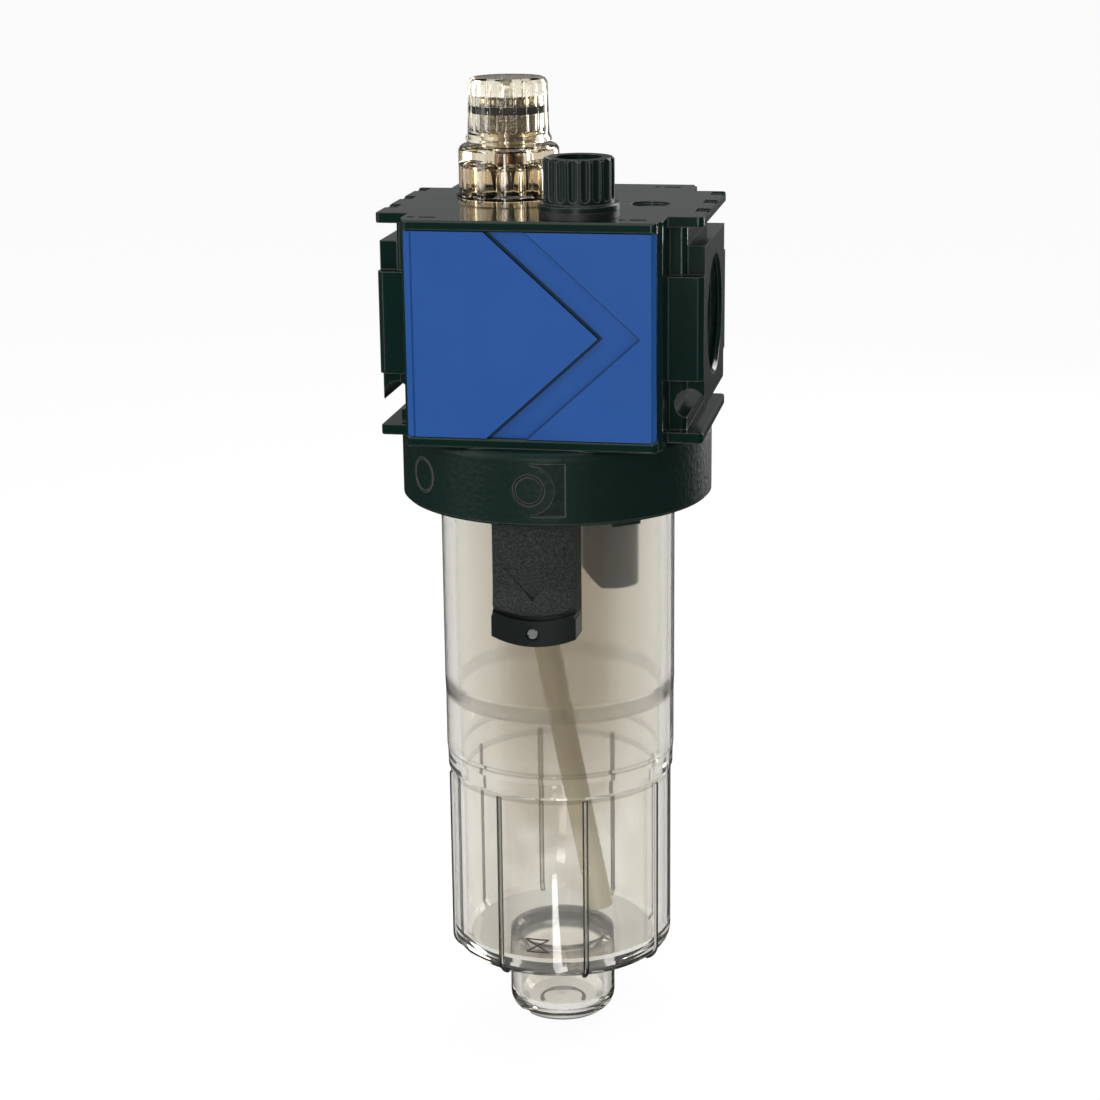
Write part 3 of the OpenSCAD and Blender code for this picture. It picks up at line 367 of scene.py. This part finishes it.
# Painted shade: a near-black ring round the mouth of the well, broken by noise.
well_ring = r_in.ramp(well_r, well_r + 0.0004) * r_in.ramp(well_rim, well_rim - 0.0006)
well_deep = z_in.below(floor_top) * z_in.ramp(well_low, well_low + 0.001)
well_mouth_shade = well_ring * well_deep * clear.noise(160.0).ramp(0.2, 0.4)
# Painted shade: dark lines at the top and at the foot of the step.
step_top = z_in.between(-0.0844, -0.0837, 0.0002)
step_foot = z_in.between(-0.0896, -0.0887, 0.0003)
tinted = clear.blend(painted_middle_shade, (0.965, 0.95, 0.895), (0.57, 0.52, 0.44))
banded = clear.blend(fine_band * 0.7, tinted, (0.42, 0.39, 0.34))
step_shaded_tint = clear.blend(step_top.larger(step_foot) * 0.6, banded, (0.3, 0.28, 0.24))
edge_shaded_tint = clear.blend(edge_on_shade, step_shaded_tint, (0.2, 0.19, 0.165))
clear.feed("Base Color", clear.blend(well_mouth_shade, edge_shaded_tint, (0.02, 0.022, 0.02)))
clear.feed("Roughness", 0.015 + z_in.ramp(-0.095, -0.065) * 0.07 + fine_band * 0.15)
clear.on("bowl")

# Ribs: eight half-round ribs moulded on the lower part of the bowl, from under its step down round
# the corner of the floor. Their sides, seen edge on, are darkened with painted shade.
rib_count, rib_r, rib_foot, rib_head, corner_r, wall_r = 8, 0.00055, -0.1223, -0.0889, 0.003, 0.02135
rib_finish = Finish(
    "rib_edges", IOR=1.5, Roughness=0.12, Transmission_Weight=0.9, Specular_IOR_Level=0.15)
rib_side_shade = rib_finish.facing().ramp(0.03, 0.22)
rib_finish.feed("Base Color", rib_finish.blend(rib_side_shade, (0.85, 0.83, 0.76), (0.012, 0.014, 0.013)))
ribs = bmesh.new()
bmesh.ops.create_circle(
    ribs, cap_ends=True, segments=20, radius=rib_r, matrix=Matrix.Translation((0, -wall_r, rib_head)))
bmesh.ops.bisect_plane(
    ribs, geom=ribs.faces[:] + ribs.edges[:] + ribs.verts[:], clear_inner=True,
    plane_co=(0, -wall_r - 0.00002, 0), plane_no=(0, -1, 0))
drawn = bmesh.ops.extrude_face_region(ribs, geom=ribs.faces[:])["geom"]
ends = [part for part in drawn if isinstance(part, bmesh.types.BMVert)]
bmesh.ops.translate(ribs, verts=ends, vec=(0, 0, rib_foot - rib_head))
bmesh.ops.spin(
    ribs, geom=drawn, cent=(0, corner_r - wall_r, rib_foot), axis=(1, 0, 0), angle=math.radians(70),
    steps=8)
between_ribs = math.tau / rib_count
bmesh.ops.rotate(ribs, verts=ribs.verts, matrix=Matrix.Rotation(between_ribs / 2, 3, "Z"))
bmesh.ops.spin(
    ribs, geom=ribs.verts[:] + ribs.edges[:] + ribs.faces[:], cent=(0, 0, 0), axis=(0, 0, 1),
    angle=math.tau - between_ribs, steps=rib_count - 1, use_duplicate=True)
bmesh.ops.translate(ribs, verts=ribs.verts, vec=(bowl_x, 0, 0))
bmesh.ops.remove_doubles(ribs, verts=ribs.verts, dist=1e-7)
solid("bowl_ribs", ribs, rib_finish, "water_clear", "bowl")

# Level mark: two crossed strokes between two lines, printed in black on the front of the bowl,
# that show the lowest level of the oil.
ink = Finish("mark_ink", Base_Color=(0.02, 0.02, 0.02, 1), Roughness=0.6)
mark_r, mark_line = 0.0214, 0.00013
mark_low, mark_high, mark_left, mark_right = -0.1194, -0.1168, -0.0031, 0.0013
strokes = [
    ((mark_left, mark_high), (mark_right, mark_high)), ((mark_left, mark_low), (mark_right, mark_low)),
    ((mark_left, mark_high), (mark_right, mark_low)), ((mark_left, mark_low), (mark_right, mark_high))]
marks = bmesh.new()
for (x1, z1), (x2, z2) in strokes:
    along = Vector((x2 - x1, 0, z2 - z1))
    turned = along.to_track_quat("X", "Y").to_matrix().to_4x4()
    shape = turned @ Matrix.Diagonal((along.length / 2, mark_line, 1, 1))
    bmesh.ops.create_grid(
        marks, x_segments=10, y_segments=1, size=1,
        matrix=Matrix.Translation(((x1 + x2) / 2, 0, (z1 + z2) / 2)) @ shape)
for vertex in marks.verts:
    round_wall = vertex.co.x / mark_r
    vertex.co.x = bowl_x + mark_r * math.sin(round_wall)
    vertex.co.y = -mark_r * math.cos(round_wall)
bmesh.ops.solidify(marks, geom=marks.faces, thickness=0.00003)
solid("level_mark", marks, ink, "black_rubber", "bowl")

# Lock slide: a black moulding that rides on the bowl's rail, over a light spring. Its grip is
# finely spark-eroded, with a sunk arrowhead, and the band below it is smooth.
slide_finish = Finish("textured_slide", Specular_IOR_Level=0.3)
speckle = slide_finish.noise(3200.0, 2.0)
grip_foot = -0.0511
rough_part = slide_finish.split(slide_finish.point())[2].ramp(grip_foot, grip_foot + 0.0002)
slide_finish.feed("Base Color", slide_finish.blend(
    speckle.ramp(0.35, 0.75) * rough_part, (0.007, 0.011, 0.01), (0.036, 0.041, 0.037)))
slide_finish.feed("Roughness", 0.35 + rough_part * 0.25)
slide_finish.bump(speckle * rough_part, 0.6, 0.0002)
slide_finish.on("lock_slide")

# Sight dome and knob: clear polycarbonate with an amber cast, with painted shade where the flutes
# are seen edge on. The dome stands on the head over a small nozzle, and its neck has a fine thread.
dome_x, dome_y = 0.0192, 0.0064
amber = Finish("amber_dome", Roughness=0.05, IOR=1.5, Transmission_Weight=1.0)
dome_edge_shade = amber.facing().ramp(0.4, 0.9)
amber.feed("Base Color", amber.blend(dome_edge_shade, (0.7, 0.6, 0.44), (0.16, 0.12, 0.07)))
amber.on("sight_dome")
pale_amber = Finish("clear_knob", Roughness=0.03, IOR=1.5, Transmission_Weight=1.0)
flute_edge_shade = pale_amber.facing().ramp(0.35, 0.85)
pale_amber.feed("Base Color", pale_amber.blend(flute_edge_shade, (0.87, 0.81, 0.67), (0.25, 0.2, 0.13)))
pale_amber.on("adjusting_knob")
# Painted shade: the neck thread is a darker, half-clear copy of the amber, so that it shows as dark
# lines.
shaded_thread_amber = Finish(
    "neck_thread", Base_Color=(0.5, 0.42, 0.3, 1), Roughness=0.2, Transmission_Weight=0.5)
neck_r, neck_crest, neck_pitch, neck_long, neck_foot = 0.0052, 0.0057, 0.0005, 0.0036, 0.0316
helix(
    "neck_thread", neck_r, neck_crest, neck_pitch, neck_long, (dome_x, dome_y, neck_foot), 0,
    shaded_thread_amber, "amber_clear", facets=36)
nozzle = Finish("dark_nozzle", Base_Color=(0.16, 0.1, 0.04, 1), Metallic=1.0, Roughness=0.3)
nozzle.on("drip_nozzle")

# Seals: rings moulded in black rubber. The one between knob and neck is drawn as it looks when the
# knob squeezes it flat.
rubber = Finish("black_rubber", Base_Color=(0.008, 0.009, 0.009, 1), Roughness=0.5)
rubber.on("dome_seal", "needle_seal", "bowl_seal", "plug_seal")
ring_r, ring_corner, ring_level = 0.00542, 0.00095, 0.0361
ring_mesh = bmesh.new()
upright = Matrix.Rotation(math.radians(90), 4, "X") @ Matrix.Rotation(math.radians(45), 4, "Z")
section = bmesh.ops.create_circle(
    ring_mesh, segments=4, radius=ring_corner, matrix=Matrix.Translation((ring_r, 0, 0)) @ upright)
bmesh.ops.spin(
    ring_mesh, geom=section["verts"] + ring_mesh.edges[:], cent=(0, 0, 0), axis=(0, 0, 1),
    angle=math.tau, steps=96, use_merge=True, use_duplicate=False)
bmesh.ops.translate(ring_mesh, verts=ring_mesh.verts, vec=(dome_x, dome_y, ring_level))
solid("pressed_seal", ring_mesh, rubber, "black_rubber", "head", "knob_seal")

# Filler plug: a ribbed black nylon moulding, screwed down by hand on a flat seal. The edges of
# its ribs are coloured pale as a painted highlight.
plug_finish = Finish("plug_moulding", Specular_IOR_Level=0.2)
plug_normal, rib_highlight_mask = plug_finish.rounded(0.00022)
black_skin, rib_highlight_colour = (0.004, 0.013, 0.0105), (0.22, 0.205, 0.18)
plug_finish.feed("Base Color", plug_finish.blend(rib_highlight_mask, black_skin, rib_highlight_colour))
plug_finish.feed("Roughness", 0.26 + plug_finish.noise(300.0) * 0.14)
plug_finish.bump(plug_finish.noise(900.0), 0.1, 0.0001, plug_normal)
plug_finish.on("fill_plug")
